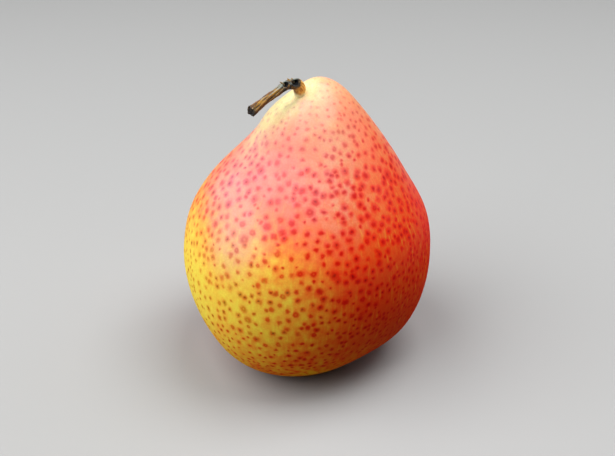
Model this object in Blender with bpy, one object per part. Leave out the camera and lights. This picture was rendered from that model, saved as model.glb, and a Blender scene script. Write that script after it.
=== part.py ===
# A small speckled pear with its woody stem and the dried calyx in the basin under it.
# Metres, +Z up. The origin is on the surface that the pear rests on, under the middle of the fruit.
# The neck bends towards -X and -Y, so the side with the stem's cut end faces -Y and a little -X.

import math

import bmesh
import bpy
import numpy as np
from mathutils import Vector

# Fruit: radius from the core line, height along it, and the rings up to the next point, from the
# eye of the basin to the crown.
FRUIT_OUTLINE = [
    (0.0000, 0.0056, 2),     # eye of the basin
    (0.0044, 0.0050, 3),
    (0.0086, 0.0024, 3),     # basin wall
    (0.0121, -0.0005, 8),    # underside, pressed flat where it would pass below the ground
    (0.0288, 0.0125, 8),
    (0.0330, 0.0356, 5),     # belly
    (0.0279, 0.0491, 8),     # shoulder
    (0.0136, 0.0681, 3),     # neck
    (0.0102, 0.0724, 9),
    (0.0000, 0.0772, 0),     # crown
]
FRUIT_SIDES = 60

# Core line: where it starts, its lean, and the bend of the neck.
CORE_START = (-0.0015, 0.0006)
CORE_LEAN = math.radians(3.0)            # towards +X
CORE_LEAN_HEIGHT = 0.0150                # the lean is complete at this height
BEND_START = 0.0497
BEND_LENGTH = 0.0363
BEND_TO_LEFT = math.radians(25.9)        # towards -X
BEND_TO_FRONT = math.radians(13.3)       # towards -Y
CORE_TOP = 0.0820
CORE_STEP = 0.0005

# Swells of the flesh: lobes round the fruit, share of the radius, and where the first lobe points.
BODY_SWELLS = [(2, 0.029, math.radians(36.5)), (3, 0.019, math.radians(25.4))]
FOOT_SWELLS = [(4, 0.060, math.radians(-21.7)), (5, 0.036, math.radians(2.0))]
FOOT_SWELL_HEIGHT = 0.0178               # the foot's lobes fade with height

# The crown's fuller side and the stem's dimple: to the right of the core line and to the back of it.
SHOULDER_AT = (0.0065, 0.0049)
SHOULDER_REACH = 0.0064
SHOULDER_RISE = 0.0025
SHOULDER_FADE = (0.0600, 0.0660)         # heights over which it fades in
DIMPLE_AT = (-0.0012, 0.0002)
DIMPLE_REACH = (0.0029, 0.0020)
DIMPLE_DEPTH = 0.0016
DIMPLE_FADE = (0.0730, 0.0760)

# Socket that the stem's root stands in, along the core line.
SOCKET_MOUTH = (0.0020, 0.0766)          # radius, height
SOCKET_FLOOR = (0.0015, 0.0718)
ROOT_RADIUS = 0.0011
ROOT_START = 0.0728

# Stem above the socket: place and radius. It rises from the dimple, bends at two old fruit scars
# and runs out to a flared cut end.
STEM_ROUTE = [
    ((-0.00200, -0.00210, 0.07745), 0.00125),    # fleshy foot
    ((-0.00220, -0.00290, 0.07915), 0.00140),
    ((-0.00310, -0.00385, 0.08005), 0.00125),    # bend
    ((-0.00505, -0.00535, 0.08025), 0.00105),
    ((-0.00727, -0.00720, 0.07945), 0.00088),    # stalk
    ((-0.00940, -0.00880, 0.07840), 0.00085),
    ((-0.01170, -0.01060, 0.07715), 0.00092),
    ((-0.01365, -0.01210, 0.07612), 0.00118),    # cut end
]
STEM_BEVEL_RESOLUTION = 4                # 12 sides
STEM_RINGS = 3                           # rings up to the next point of the route

# Stubs left by fruits that dropped: foot, top, radius.
STEM_STUBS = [
    ((-0.00290, -0.00380, 0.07985), (-0.00300, -0.00520, 0.08105), 0.00105),
    ((-0.00492, -0.00530, 0.08005), (-0.00515, -0.00640, 0.08109), 0.00085),
]
STUB_SIDES = 12
STUB_SHOULDER = 0.4                      # height of the rounding under a stub's rim, share of its radius
STUB_RIM = 0.8                           # radius of the rim, share of the stub's
STUB_DENT = 0.35                         # depth of the dent in a stub's end, share of its radius

# Bud scales round the stubs: foot, tip.
BUD_SCALES = [
    ((-0.00360, -0.00420, 0.08030), (-0.00365, -0.00420, 0.08190)),
    ((-0.00440, -0.00480, 0.08030), (-0.00465, -0.00470, 0.08190)),
    ((-0.00580, -0.00580, 0.08000), (-0.00640, -0.00600, 0.08150)),
]
BUD_SCALE_RADIUS = 0.00035
TAPER = 0.6                              # radius at the tip of a bud scale or stamen, share of its foot's

# Calyx: a disc under the eye of the basin, five dried sepals and a tuft of dry stamens.
CALYX_TOP = FRUIT_OUTLINE[0][1] - 0.0004
DISC_RADIUS = 0.0022
DISC_THICKNESS = 0.0008
DISC_SIDES = 20
SEPAL_COUNT = 5
SEPAL_THICKNESS = 0.0006
SEPAL_RUN = [                            # radius, drop below the top of the disc, width
    (0.0010, 0.0004, 0.0020),
    (0.0026, 0.0008, 0.0027),
    (0.0039, 0.0017, 0.0022),
    (0.0048, 0.0027, 0.0013),
    (0.0054, 0.0031, 0.0006),
]
STAMEN_COUNT = 12
STAMEN_LENGTH = 0.0020
STAMEN_RADIUS = 0.0003
STAMEN_RING = 0.0012
STAMEN_SPLAY = math.radians(22)
GOLDEN_TURN = math.radians(137.5)


def smooth(value):
    value = np.clip(value, 0.0, 1.0)
    return value * value * (3.0 - 2.0 * value)


def smooth_curve(points, counts):
    """Points along the natural cubic curve through the given ones: so many from each of them on."""
    points = np.array(points, dtype=float)
    chords = np.linalg.norm(np.diff(points, axis=0), axis=1)
    knots = np.concatenate([[0.0], np.cumsum(np.sqrt(chords))])
    spans = np.diff(knots)
    last = len(spans)
    system = np.eye(last + 1)
    bends = np.zeros_like(points)
    for i in range(1, last):
        system[i, i - 1:i + 2] = spans[i - 1], 2.0 * (spans[i - 1] + spans[i]), spans[i]
        bends[i] = 6.0 * ((points[i + 1] - points[i]) / spans[i] - (points[i] - points[i - 1]) / spans[i - 1])
    bends = np.linalg.solve(system, bends)
    found = []
    for i in range(last):
        span = spans[i]
        for past in np.linspace(0.0, span, counts[i], endpoint=False):
            left = span - past
            cubic = (bends[i] * left ** 3 + bends[i + 1] * past ** 3) / (6.0 * span)
            line = (points[i] / span - bends[i] * span / 6.0) * left
            line += (points[i + 1] / span - bends[i + 1] * span / 6.0) * past
            found.append(cubic + line)
    return found


def core_line():
    """Heights along the core line, its points and its directions."""
    heights = np.arange(0.0, CORE_TOP + CORE_STEP, CORE_STEP)
    turn = smooth((heights - BEND_START) / BEND_LENGTH)
    to_right = CORE_LEAN * smooth(heights / CORE_LEAN_HEIGHT) - BEND_TO_LEFT * turn
    to_back = -BEND_TO_FRONT * turn
    directions = np.stack([np.sin(to_right), np.sin(to_back), np.zeros_like(heights)], axis=1)
    directions[:, 2] = np.sqrt(1.0 - directions[:, 0] ** 2 - directions[:, 1] ** 2)
    steps = (directions[1:] + directions[:-1]) / 2.0 * CORE_STEP
    start = np.array([[CORE_START[0], CORE_START[1], 0.0]])
    points = np.vstack([start, start + np.cumsum(steps, axis=0)])
    return heights, points, directions


CORE = core_line()


def core_frame(height):
    """The core line's point at a height, and the right and back axes of the ring round it."""
    heights, points, directions = CORE
    point = Vector([np.interp(height, heights, points[:, i]) for i in range(3)])
    point.z += min(height, 0.0)
    direction = Vector([np.interp(height, heights, directions[:, i]) for i in range(3)]).normalized()
    right = Vector((0.0, 1.0, 0.0)).cross(direction).normalized()
    back = direction.cross(right)
    return point, right, back


def swell(angle, height):
    total = 1.0
    for lobes, share, towards in BODY_SWELLS:
        total += share * math.cos(lobes * (angle - towards))
    fade = math.exp(-(height / FOOT_SWELL_HEIGHT) ** 2)
    for lobes, share, towards in FOOT_SWELLS:
        total += fade * share * math.cos(lobes * (angle - towards))
    return total


def fade_in(height, fade):
    return smooth((height - fade[0]) / (fade[1] - fade[0]))


def crown_relief(right, back, height):
    """How far the crown stands above or below its plain dome, from its fuller side and the dimple."""
    from_shoulder = math.hypot(right - SHOULDER_AT[0], back - SHOULDER_AT[1])
    rise = SHOULDER_RISE * math.exp(-(from_shoulder / SHOULDER_REACH) ** 2)
    across = (right - DIMPLE_AT[0]) / DIMPLE_REACH[0]
    along = (back - DIMPLE_AT[1]) / DIMPLE_REACH[1]
    dimple = DIMPLE_DEPTH * math.exp(-(across ** 2 + along ** 2))
    return rise * fade_in(height, SHOULDER_FADE) - dimple * fade_in(height, DIMPLE_FADE)


def fruit_place(plain):
    """Where a point of the plain turned fruit goes: swollen, bent along the core line, pressed flat."""
    angle = math.atan2(plain.y, plain.x)
    radius = math.hypot(plain.x, plain.y) * swell(angle, plain.z)
    right = radius * math.cos(angle)
    back = radius * math.sin(angle)
    height = plain.z + crown_relief(right, back, plain.z)
    point, right_axis, back_axis = core_frame(height)
    placed = point + right * right_axis + back * back_axis
    placed.z = max(placed.z, 0.0)
    return placed


def fruit_outline():
    """Radius and height pairs from the eye of the basin to the floor of the stem's socket."""
    rows = FRUIT_OUTLINE
    before_eye = (-rows[1][0], rows[1][1], 0)          # the other side of the axis, for a level start
    past_crown = (-rows[-2][0], rows[-2][1], 0)
    rows = [before_eye] + rows + [past_crown]
    curve = smooth_curve([row[:2] for row in rows], [row[2] for row in rows])
    skin = [tuple(p) for p in curve if p[1] < DIMPLE_FADE[0] or p[0] > SOCKET_MOUTH[0] * 1.15]
    return skin + [SOCKET_MOUTH, SOCKET_FLOOR, (0.0, SOCKET_FLOOR[1])]


def material(name, colour, roughness):
    made = bpy.data.materials.new(name)
    made.use_nodes = True
    shader = made.node_tree.nodes["Principled BSDF"]
    shader.inputs["Base Color"].default_value = (*colour, 1.0)
    shader.inputs["Roughness"].default_value = roughness
    shader.inputs["Metallic"].default_value = 0.0
    return made


def new_object(name, data):
    made = bpy.data.objects.new(name, data)
    bpy.context.scene.collection.objects.link(made)
    return made


def finish_mesh(mesh, name):
    bmesh.ops.recalc_face_normals(mesh, faces=mesh.faces)
    data = bpy.data.meshes.new(name)
    mesh.to_mesh(data)
    mesh.free()
    return new_object(name, data)


def union(body, pieces):
    """Join the pieces to the body as one solid."""
    group = bpy.data.collections.new(body.name + "_pieces")
    bpy.context.scene.collection.children.link(group)
    for piece in pieces:
        bpy.context.scene.collection.objects.unlink(piece)
        group.objects.link(piece)
    joiner = body.modifiers.new("join", "BOOLEAN")
    joiner.operation = "UNION"
    joiner.solver = "EXACT"
    joiner.operand_type = "COLLECTION"
    joiner.collection = group
    bpy.context.view_layer.update()
    joined = bpy.data.meshes.new_from_object(body.evaluated_get(bpy.context.evaluated_depsgraph_get()))
    body.modifiers.clear()
    body.data = joined
    for piece in pieces:
        bpy.data.objects.remove(piece, do_unlink=True)
    bpy.data.collections.remove(group)


def loft(name, rings):
    """A closed solid through rings of equally many points, with a flat cap on each end."""
    mesh = bmesh.new()
    loops = [[mesh.verts.new(point) for point in ring] for ring in rings]
    for lower, upper in zip(loops, loops[1:]):
        for i in range(len(lower)):
            after = (i + 1) % len(lower)
            mesh.faces.new((lower[i], lower[after], upper[after], upper[i]))
    mesh.faces.new(loops[0])
    mesh.faces.new(loops[-1])
    return finish_mesh(mesh, name)


def ring_round(centre, axis, radius, sides):
    turned = axis.to_track_quat("Z", "Y")
    ring = []
    for i in range(sides):
        angle = 2.0 * math.pi * i / sides
        ring.append(centre + turned @ Vector((radius * math.cos(angle), radius * math.sin(angle), 0.0)))
    return ring


def cone(name, foot, tip, radius, sides):
    axis = (tip - foot).normalized()
    return loft(name, [ring_round(foot, axis, radius, sides), ring_round(tip, axis, radius * TAPER, sides)])


def build_fruit():
    mesh = bmesh.new()
    line = [mesh.verts.new((radius, 0.0, height)) for radius, height in fruit_outline()]
    edges = [mesh.edges.new(pair) for pair in zip(line, line[1:])]
    bmesh.ops.spin(mesh, geom=line + edges, cent=(0.0, 0.0, 0.0), axis=(0.0, 0.0, 1.0),
                   angle=2.0 * math.pi, steps=FRUIT_SIDES, use_merge=True)
    bmesh.ops.remove_doubles(mesh, verts=mesh.verts, dist=0.000001)
    for vert in mesh.verts:
        vert.co = fruit_place(vert.co)
    fruit = finish_mesh(mesh, "fruit")
    fruit.data.shade_smooth()
    fruit.data.set_sharp_from_angle(angle=math.radians(50))
    fruit.data.materials.append(material("pear_skin", (0.86, 0.36, 0.10), 0.38))


def build_stem():
    root_heights = (ROOT_START, (ROOT_START + SOCKET_MOUTH[1]) / 2.0)
    root = [(*core_frame(height)[0], ROOT_RADIUS) for height in root_heights]
    knots = root + [(*place, radius) for place, radius in STEM_ROUTE]
    rings = smooth_curve(knots, [STEM_RINGS] * (len(knots) - 1)) + [knots[-1]]
    curve = bpy.data.curves.new("stem_curve", "CURVE")
    curve.dimensions = "3D"
    curve.bevel_depth = 1.0
    curve.bevel_resolution = STEM_BEVEL_RESOLUTION
    curve.use_fill_caps = True
    spline = curve.splines.new("POLY")
    spline.points.add(len(rings) - 1)
    for point, (x, y, z, radius) in zip(spline.points, rings):
        point.co = (x, y, z, 1.0)
        point.radius = radius
    guide = new_object("stem_guide", curve)
    bpy.context.view_layer.update()
    tube = bpy.data.meshes.new_from_object(guide.evaluated_get(bpy.context.evaluated_depsgraph_get()))
    bpy.data.objects.remove(guide, do_unlink=True)
    stem = new_object("stem", tube)

    pieces = []
    for number, (foot, top, radius) in enumerate(STEM_STUBS, start=1):
        foot, top = Vector(foot), Vector(top)
        axis = (top - foot).normalized()
        rings = [
            ring_round(foot, axis, radius, STUB_SIDES),
            ring_round(top - axis * radius * STUB_SHOULDER, axis, radius, STUB_SIDES),
            ring_round(top, axis, radius * STUB_RIM, STUB_SIDES),
            ring_round(top - axis * radius * STUB_DENT, axis, radius * STUB_RIM / 2.0, STUB_SIDES),
        ]
        pieces.append(loft(f"stub_{number}", rings))
    for number, (foot, tip) in enumerate(BUD_SCALES, start=1):
        pieces.append(cone(f"bud_scale_{number}", Vector(foot), Vector(tip), BUD_SCALE_RADIUS, 5))
    union(stem, pieces)
    stem.data.shade_smooth()
    stem.data.set_sharp_from_angle(angle=math.radians(40))
    stem.data.materials.clear()
    stem.data.materials.append(material("stem_bark", (0.22, 0.11, 0.04), 0.75))


def sepal(number, eye):
    """One dried sepal, running out from the disc and curling down, with a four-cornered section."""
    angle = 2.0 * math.pi * number / SEPAL_COUNT
    outward = Vector((math.cos(angle), math.sin(angle), 0.0))
    sideways = Vector((-math.sin(angle), math.cos(angle), 0.0))
    down = Vector((0.0, 0.0, -SEPAL_THICKNESS))
    rings = []
    for radius, drop, width in SEPAL_RUN:
        middle = eye + outward * radius - Vector((0.0, 0.0, drop))
        half = sideways * width / 2.0
        rings.append([middle - half, middle + half, middle + half + down, middle - half + down])
    return loft(f"sepal_{number}", rings)


def stamen(number, eye):
    """One dry stamen, sunk in the disc at its foot and splayed outwards."""
    angle = number * GOLDEN_TURN
    outward = Vector((math.cos(angle), math.sin(angle), 0.0))
    foot = eye + outward * STAMEN_RING * math.sqrt((number + 0.5) / STAMEN_COUNT)
    foot.z -= DISC_THICKNESS / 2.0
    splay = STAMEN_SPLAY * (foot - eye).xy.length / STAMEN_RING
    run = outward * math.sin(splay) - Vector((0.0, 0.0, math.cos(splay)))
    return cone(f"stamen_{number}", foot, foot + run * STAMEN_LENGTH, STAMEN_RADIUS, 5)


def build_calyx():
    eye = core_frame(CALYX_TOP)[0]
    up = Vector((0.0, 0.0, 1.0))
    under = eye - up * DISC_THICKNESS
    calyx = loft("calyx", [ring_round(eye, up, DISC_RADIUS, DISC_SIDES),
                           ring_round(under, up, DISC_RADIUS * 0.9, DISC_SIDES)])
    pieces = [sepal(number, eye) for number in range(SEPAL_COUNT)]
    pieces += [stamen(number, eye) for number in range(STAMEN_COUNT)]
    union(calyx, pieces)
    calyx.data.shade_smooth()
    calyx.data.set_sharp_from_angle(angle=math.radians(35))
    calyx.data.materials.clear()
    calyx.data.materials.append(material("dry_calyx", (0.09, 0.05, 0.025), 0.85))


def main():
    for old in list(bpy.data.objects):
        bpy.data.objects.remove(old, do_unlink=True)
    build_fruit()
    build_stem()
    build_calyx()


main()
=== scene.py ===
# A small speckled pear, dressed for its portrait: blushed and speckled skin, woody stem, dried calyx.
# Metres, +Z up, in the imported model's frame. The photographed side faces -Y.

import math

import bpy
import numpy as np
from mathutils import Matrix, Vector, kdtree, noise


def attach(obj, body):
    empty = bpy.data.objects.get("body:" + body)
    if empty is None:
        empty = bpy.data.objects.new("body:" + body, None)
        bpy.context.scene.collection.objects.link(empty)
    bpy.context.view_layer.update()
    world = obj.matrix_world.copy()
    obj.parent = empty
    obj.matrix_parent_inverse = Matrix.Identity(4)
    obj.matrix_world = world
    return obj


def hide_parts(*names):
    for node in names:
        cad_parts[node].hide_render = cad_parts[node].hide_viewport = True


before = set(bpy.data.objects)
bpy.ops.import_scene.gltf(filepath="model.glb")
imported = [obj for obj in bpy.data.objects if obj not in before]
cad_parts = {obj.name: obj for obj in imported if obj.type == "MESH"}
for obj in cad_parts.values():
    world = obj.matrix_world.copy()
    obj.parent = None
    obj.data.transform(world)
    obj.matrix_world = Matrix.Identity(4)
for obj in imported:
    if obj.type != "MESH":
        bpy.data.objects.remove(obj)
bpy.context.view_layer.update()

mm = 0.001


def linear(hexColour, alpha=1.0):
    channels = [int(hexColour[i:i + 2], 16) / 255 for i in (1, 3, 5)]
    return [c / 12.92 if c <= 0.04045 else ((c + 0.055) / 1.055) ** 2.4 for c in channels] + [alpha]


def smooth(value):
    value = np.clip(value, 0, 1)
    return value * value * (3 - 2 * value)


def curveThrough(points, counts):
    # points along the natural cubic curve: so many from each given point on, then the last one
    points = np.array(points, float)
    knots = np.concatenate([[0], np.cumsum(np.sqrt(np.linalg.norm(np.diff(points, axis=0), axis=1)))])
    spans = np.diff(knots)
    last = len(spans)
    system = np.eye(last + 1)
    bends = np.zeros_like(points)
    for i in range(1, last):
        system[i, i - 1:i + 2] = spans[i - 1], 2 * (spans[i - 1] + spans[i]), spans[i]
        bends[i] = 6 * ((points[i + 1] - points[i]) / spans[i] - (points[i] - points[i - 1]) / spans[i - 1])
    bends = np.linalg.solve(system, bends)
    found = []
    for i in range(last):
        for past in np.linspace(0, spans[i], counts[i], endpoint=False):
            left = spans[i] - past
            found.append((bends[i] * left ** 3 + bends[i + 1] * past ** 3) / (6 * spans[i])
                         + (points[i] / spans[i] - bends[i] * spans[i] / 6) * left
                         + (points[i + 1] / spans[i] - bends[i + 1] * spans[i] / 6) * past)
    return np.array(found + [points[-1]])


def noiseAt(points, size, seed=0.0):
    # smooth noise from about -1 to 1, lumps of the given size in millimetres
    flat = np.reshape(points, (-1, 3)) / size + seed
    return np.array([noise.noise(Vector(p)) for p in flat]).reshape(np.shape(points)[:-1])


def gridParts(rings):
    # a closed skin over rings of equally many points; both ends close on a single point
    rings = np.array(rings, float)
    count, sides = rings.shape[:2]
    points = np.vstack([rings[0].mean(0), *rings, rings[-1].mean(0)])
    faces = []
    for r in range(count - 1):
        for s in range(sides):
            a, b = 1 + r * sides + s, 1 + r * sides + (s + 1) % sides
            faces.append((a, b, b + sides, a + sides))
    top = 1 + (count - 1) * sides
    faces += [(0, 1 + (s + 1) % sides, 1 + s) for s in range(sides)]
    faces += [(len(points) - 1, top + s, top + (s + 1) % sides) for s in range(sides)]
    return points, faces


def pieceFrom(name, grids):
    # grids: (rings, tones), where a tone is a value for each ring or for each point of each ring
    allPoints, allFaces, tones = [], [], {}
    for rings, gridTones in grids:
        points, faces = gridParts(rings)
        start = sum(map(len, allPoints))
        allPoints.append(points)
        allFaces += [tuple(corner + start for corner in face) for face in faces]
        shape = np.array(rings).shape[:2]
        for key, value in gridTones.items():
            value = np.array(value, float)
            full = np.broadcast_to(value if value.ndim == 2 else value.reshape(-1, 1), shape)
            ends = full[0].mean(), full[-1].mean()
            tones.setdefault(key, []).append(np.concatenate([ends[:1], full.ravel(), ends[1:]]))
    mesh = bpy.data.meshes.new(name)
    mesh.from_pydata((np.vstack(allPoints) * mm).tolist(), [], allFaces)
    mesh.shade_smooth()
    for key, parts in tones.items():
        mesh.attributes.new(key, "FLOAT", "POINT").data.foreach_set("value", np.concatenate(parts))
    made = bpy.data.objects.new(name, mesh)
    bpy.context.scene.collection.objects.link(made)
    return made


def sweptRings(knots, sides):
    # rings round a curve: their points, each ring's middle, the distance along, and the angle round
    curve = curveThrough([(*place, radius) for place, radius, _ in knots], [knot[2] for knot in knots])
    middles, radii = curve[:, :3], curve[:, 3]
    ahead = np.gradient(middles, axis=0)
    ahead /= np.linalg.norm(ahead, axis=1, keepdims=True)
    side = np.cross(ahead[0], [0, 1, 0])
    angle = np.linspace(0, 2 * math.pi, sides, endpoint=False)
    outward = []
    for direction in ahead:
        side = side - direction * np.dot(side, direction)
        side /= np.linalg.norm(side)
        up = np.cross(direction, side)
        outward.append(np.outer(np.cos(angle), side) + np.outer(np.sin(angle), up))
    along = np.concatenate([[0], np.cumsum(np.linalg.norm(np.diff(middles, axis=0), axis=1))])
    return middles, radii, np.array(outward), ahead, along, angle


def startMaterial(name):
    made = bpy.data.materials.new(name)
    made.use_nodes = True
    tree = made.node_tree
    return made, tree, tree.nodes["Principled BSDF"]


def plug(tree, value, socket):
    # a link where the value is a node or one of its outputs, otherwise the socket's own value
    if isinstance(value, bpy.types.Node):
        value = next(output for output in value.outputs if output.enabled)
    if isinstance(value, bpy.types.NodeSocket):
        tree.links.new(value, socket)
    elif socket.type == "RGBA":
        socket.default_value = linear(value) if isinstance(value, str) else (*value, 1)
    else:
        socket.default_value = value


def addNode(tree, kind, *inputs, **settings):
    # a node with its settings; the inputs go to the sockets that it shows, in their order
    node = tree.nodes.new("ShaderNode" + kind)
    for name, value in settings.items():
        setattr(node, name, value)
    for socket, value in zip([socket for socket in node.inputs if socket.enabled], inputs):
        plug(tree, value, socket)
    return node


def streakPlaces(tree, wide, length):
    # noise places that run with the piece: direction round its core, and the squeezed way along it
    parts = []
    for name, scale in (("acrossRight", wide), ("acrossBack", wide), ("rise", mm / length)):
        tone = addNode(tree, "Attribute", attribute_name=name).outputs["Fac"]
        parts.append(addNode(tree, "Math", tone, scale, operation="MULTIPLY"))
    return addNode(tree, "CombineXYZ", *parts)


# the fruit: the solid's own outline turned, swollen and bent, with far more rings

fruitSetup = {
    # the form, in millimetres; the outline's rows are radius, height and rings up to the next row
    "outline": [(0, 5.6, 8), (4.4, 5.0, 10), (8.6, 2.4, 12), (12.1, -0.5, 34), (28.8, 12.5, 34),
                (33.0, 35.6, 22), (27.9, 49.1, 34), (13.6, 68.1, 14), (10.2, 72.4, 42), (0, 77.2, 0)],
    "sides": 300,
    "start": (-1.5, 0.6), "coreLength": 84, "coreStep": 0.25,
    "lean": math.radians(3.0), "leanHeight": 15.0,
    "bendStart": 49.7, "bendLength": 36.3, "bendLeft": math.radians(25.9), "bendFront": math.radians(13.3),
    "bodySwells": [(2, 0.029, math.radians(36.5)), (3, 0.019, math.radians(25.4))],  # lobes, share, towards
    "footSwells": [(4, 0.060, math.radians(-21.7)), (5, 0.036, math.radians(2.0))], "footFade": 17.8,
    "shoulderAt": (6.5, 4.9), "shoulderReach": 6.4, "shoulderRise": 2.5, "shoulderFade": (60, 66),
    "dimpleAt": (-1.2, 0.2), "dimpleReach": (2.9, 2.0), "dimpleDepth": 1.6, "dimpleFade": (73, 76),
    "stemHole": 1.2, "stemHoleDepth": 1.5,      # hidden under the stem's foot
    "collarRise": 0.45, "collarReach": 0.8,     # the skin climbs a little up the stem's foot
    "folds": 10, "foldDepth": 0.12,             # in the basin, in a ring round its eye
    "foldRing": (3.2, 1.8), "basinTop": 10,     # radius and half width
    "dents": [(0.0025, 11), (0.0006, 3.5)],     # share of the radius pressed in, size

    # soft patches of colour: middle and reach in millimetres, strength
    "fields": {
        "yellow": [((-32, -13, 30), 21.5, 1.0), ((-10.3, -21.2, 34.5), 15, 1.0),  # the left cheek, its edge
                   ((9, -11, 51), 17, 0.08), ((-14, -14, 10), 25, 0.3),           # faint, neck and lower left
                   ((-22, 24, 40), 24, 0.8), ((4, 34, 22), 14, 0.6)],             # behind, guessed
        "paintedSheen": [((-15, -19, 45.5), 8.5, 0.6), ((-19, -8.5, 62), 14, 0.55),      # painted sheen: pale pink, upper left
                  ((-21.5, -13.5, 56), 7, 0.3), ((4, -32.5, 73), 19, 1.0)],       # painted sheen: front of the neck
        "cream": [((-4, -1.5, 76.5), 7, 1.0), ((-11, -2, 69.5), 8.5, 0.55),       # crown, left of the stem
                  ((3, -5.5, 65), 7, 1.0), ((6, 32, 86), 34, 1.0),                # inside and behind the neck
                  ((4, 1, 81), 9, 0.15)],
        "limeAndPaintedShade": [((-13, 0, 73), 8, 0.7), ((-6.5, 0.5, 75.5), 4.5, 0.8)],          # dull edge left of the stem: a greenish tint, partly painted shade dimming its brightly lit side
        "paintedShadeLow": [((16, -20, 9), 35, 1.0)],                                        # painted shade: deep red darkening low on the right, towards the floor
        "russet": [((-1, 0.6, 6), 6.5, 1.0)],                                     # corky ring round the calyx
        "fine": [((0, -10, 2), 24, 1.0), ((30, -13, 24), 25, 1.0), ((-34, -6, 32), 15, 1.0),
                 ((-20, -18, 12), 15, 1.0), ((2, -2, 80), 20, 1.0)],              # small close speckles
        "vivid": [((25, -16, 49), 22, 1.0), ((32, -4, 44), 17, 1.0)],             # strong ones, upper right
        "faint": [((-29, -12, 44), 20, 1.0), ((6, -6, 81), 13, 0.35)],            # weak ones, left and crown
    },

    # speckles: seeded places on the skin, in millimetres; small and close where the fine field is full
    "speckleSeed": 7, "speckleTries": 14000,
    "speckleApart": 2.3, "speckleApartFine": 1.5,
    "speckleRadius": 0.64, "speckleRadiusFine": 0.35, "speckleSpread": 0.16,
    "tinyShare": 0.12, "tinyRadius": 0.33,
    "pairShare": 0.06,                          # these may stand at half the distance, and run together
    "spotWarp": 0.35, "spotWarpSize": 1.2,      # how far a speckle's edge strays
    # where each part of a speckle starts and where it is full, in its radii from the middle
    "haloEdge": (2.5, 0.7), "speckleEdge": (1.45, 0.5), "poreEdge": (0.55, 0.15),

    # colours of the skin
    # painted light on the next line: the third colour is a painted sheen, the fifth partly painted shade
    "red": "#f6270d", "yellow": "#f5d850", "paintedSheen": "#d0beab", "cream": "#f6edad", "limeAndPaintedShade": "#d6d092",
    "russet": "#a97c3c",
    # factors on the red, green and blue of what lies under each
    "flush": (1.0, 0.72, 0.95), "glow": (0.97, 2.12, 1.7), "flame": (1.0, 0.5, 0.55),
    # painted shade: the first factor on the next line darkens the skin low on the right
    "paintedShadeLow": (0.44, 1.0, 0.15), "grain": (0.93, 0.88, 0.82),
    # painted sheen: the second factor here tints halos pink on the pale parts, which hold the painted
    # highlight as well as cream skin
    "halo": (0.99, 0.62, 0.68), "haloPale": (0.99, 0.64, 0.96), "haloVivid": (1.03, 0.6, 0.66),
    "speckleRed": (0.8, 0.14, 0.12), "speckleBrown": (0.6, 0.32, 0.02),
    # painted sheen: the first factor here tints speckles pink under the painted highlight
    "speckleBloom": (0.58, 0.26, 0.52), "speckleCream": (0.42, 0.35, 0.36),
    "pore": (0.68, 0.6, 0.72), "poreDark": (0.6, 0.62, 0.6),
    # patterns, in millimetres
    "mottleSize": 7.0, "mottleShare": 0.6, "fineSize": 2.2, "fineShare": 0.8,
    "streakWidth": 0.8, "streakLength": 6, "streakShare": 0.24,    # length over width
    "grainSize": 0.45,                          # the real grain is about 0.15, too fine to show
    "reliefSize": 0.7, "reliefDepth": 0.06,
    # wax and flesh
    "wax": (0.05, 0.65), "waxHeights": (32, 60),       # thin low down, thick on the shoulders
    "waxRoughness": 0.35, "roughness": 0.45, "index": 1.45,
    "glowOfFlesh": 0.12, "fleshDepth": 1.5, "fleshSpread": (1.0, 0.45, 0.2),
}


def coreFrame(heights):
    # the core line's points, and the right and back axes of the rings round it
    shape = fruitSetup
    gap = shape["coreStep"]
    steps = np.arange(0, shape["coreLength"] + gap, gap)
    turn = smooth((steps - shape["bendStart"]) / shape["bendLength"])
    toRight = shape["lean"] * smooth(steps / shape["leanHeight"]) - shape["bendLeft"] * turn
    directions = np.stack([np.sin(toRight), np.sin(-shape["bendFront"] * turn), np.zeros_like(steps)], 1)
    directions[:, 2] = np.sqrt(1 - directions[:, 0] ** 2 - directions[:, 1] ** 2)
    hops = (directions[1:] + directions[:-1]) * gap / 2
    points = np.cumsum(np.vstack([[*shape["start"], 0], hops]), axis=0)
    place = np.stack([np.interp(heights, steps, points[:, i]) for i in range(3)], -1)
    place[..., 2] += np.minimum(heights, 0)
    direction = np.stack([np.interp(heights, steps, directions[:, i]) for i in range(3)], -1)
    right = np.cross([0, 1, 0], direction)
    right /= np.linalg.norm(right, axis=-1, keepdims=True)
    return place, right, np.cross(direction, right)


def fruitPlaces(radius, height, angle):
    # where points of the plain turned fruit go, in millimetres
    shape = fruitSetup
    grown = 1 + sum(share * np.cos(lobes * (angle - towards))
                    for lobes, share, towards in shape["bodySwells"])
    fade = np.exp(-(height / shape["footFade"]) ** 2)
    grown = grown + sum(fade * share * np.cos(lobes * (angle - towards))
                        for lobes, share, towards in shape["footSwells"])
    right = radius * grown * np.cos(angle)
    back = radius * grown * np.sin(angle)

    def fadeIn(low, high):
        return smooth((height - low) / (high - low))

    fromShoulder = np.hypot(right - shape["shoulderAt"][0], back - shape["shoulderAt"][1])
    rise = shape["shoulderRise"] * np.exp(-(fromShoulder / shape["shoulderReach"]) ** 2)
    rise = rise * fadeIn(*shape["shoulderFade"])
    fromHole = (radius - shape["stemHole"]) / shape["collarReach"]
    rise = rise + shape["collarRise"] * np.exp(-fromHole ** 2) * fadeIn(*shape["dimpleFade"])
    across = (right - shape["dimpleAt"][0]) / shape["dimpleReach"][0]
    along = (back - shape["dimpleAt"][1]) / shape["dimpleReach"][1]
    dimple = shape["dimpleDepth"] * np.exp(-(across ** 2 + along ** 2)) * fadeIn(*shape["dimpleFade"])
    place, rightAxis, backAxis = coreFrame(height + rise - dimple)
    placed = place + right[..., None] * rightAxis + back[..., None] * backAxis
    placed[..., 2] = np.maximum(placed[..., 2], 0)
    return placed


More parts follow.
